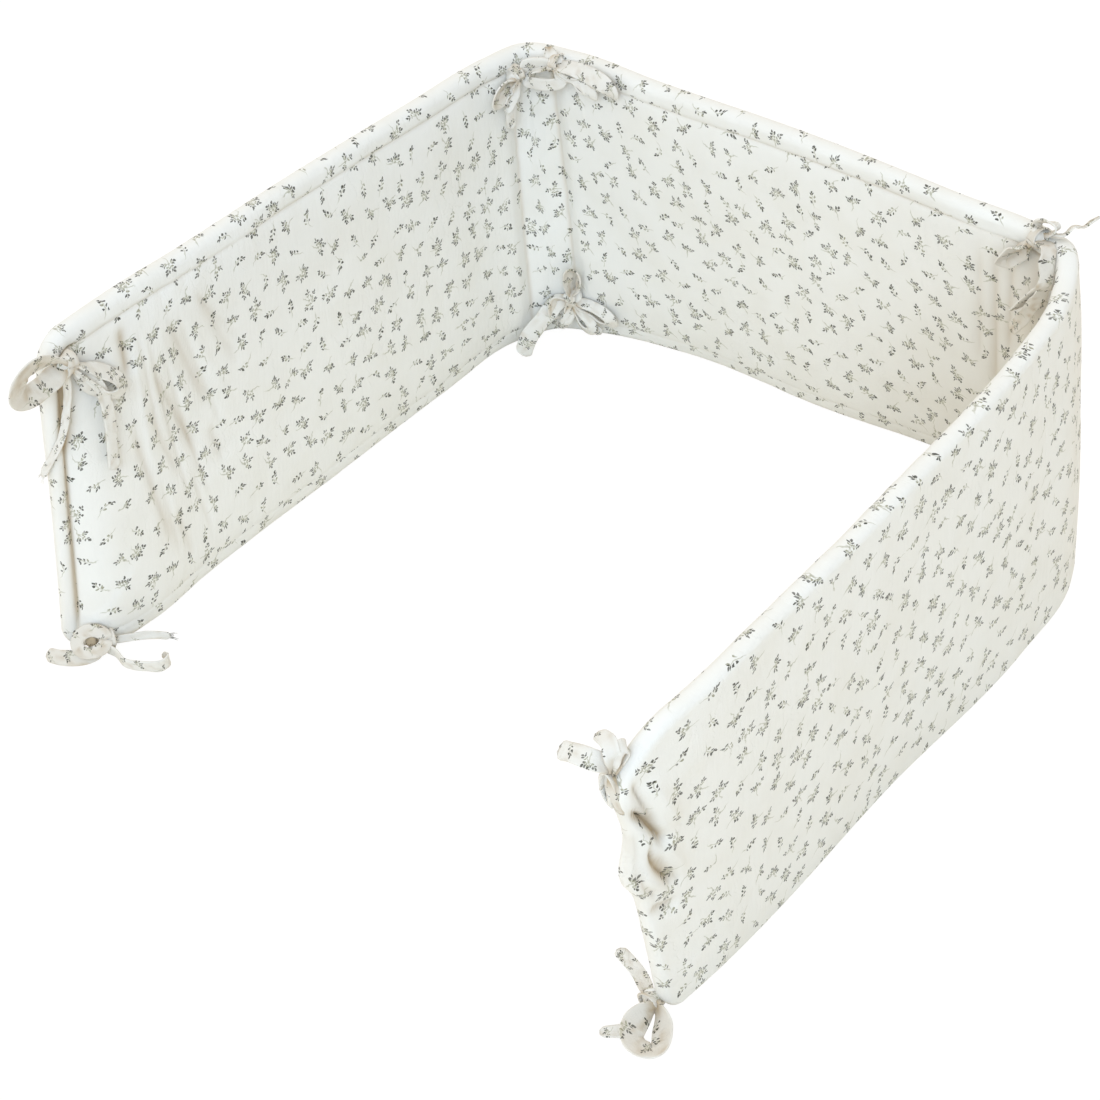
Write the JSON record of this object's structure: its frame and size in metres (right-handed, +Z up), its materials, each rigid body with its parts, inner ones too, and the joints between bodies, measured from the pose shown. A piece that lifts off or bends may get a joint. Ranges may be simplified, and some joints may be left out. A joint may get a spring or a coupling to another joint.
{
  "type": "crib bumper",
  "caption": "Padded cloth strip with a soft rolled edge that stands in a U inside a cot, folds at its two sewn corner panels and is tied to the rails by fabric straps.",
  "frame": {"origin": "on the floor, at the middle of the part's footprint", "axes": "+Z up, +Y toward the closed back wall of the U, -Y toward its open side, +X toward the wall on the right when looking along +Y"},
  "size_m": [0.6817, 0.6662, 0.3278],
  "materials": {
    "printed_muslin": "matt off-white cotton muslin with small scattered grey-green leaf sprigs"
  },
  "bodies": {
    "root": {"padded_strip": "printed_muslin", "tie_left_end_top": "printed_muslin", "tie_left_end_base": "printed_muslin", "tie_left_corner_top": "printed_muslin", "tie_left_corner_base": "printed_muslin", "tie_right_corner_top": "printed_muslin", "tie_right_corner_base": "printed_muslin", "tie_right_end_top": "printed_muslin", "tie_right_end_base": "printed_muslin"}
  },
  "joints": []
}
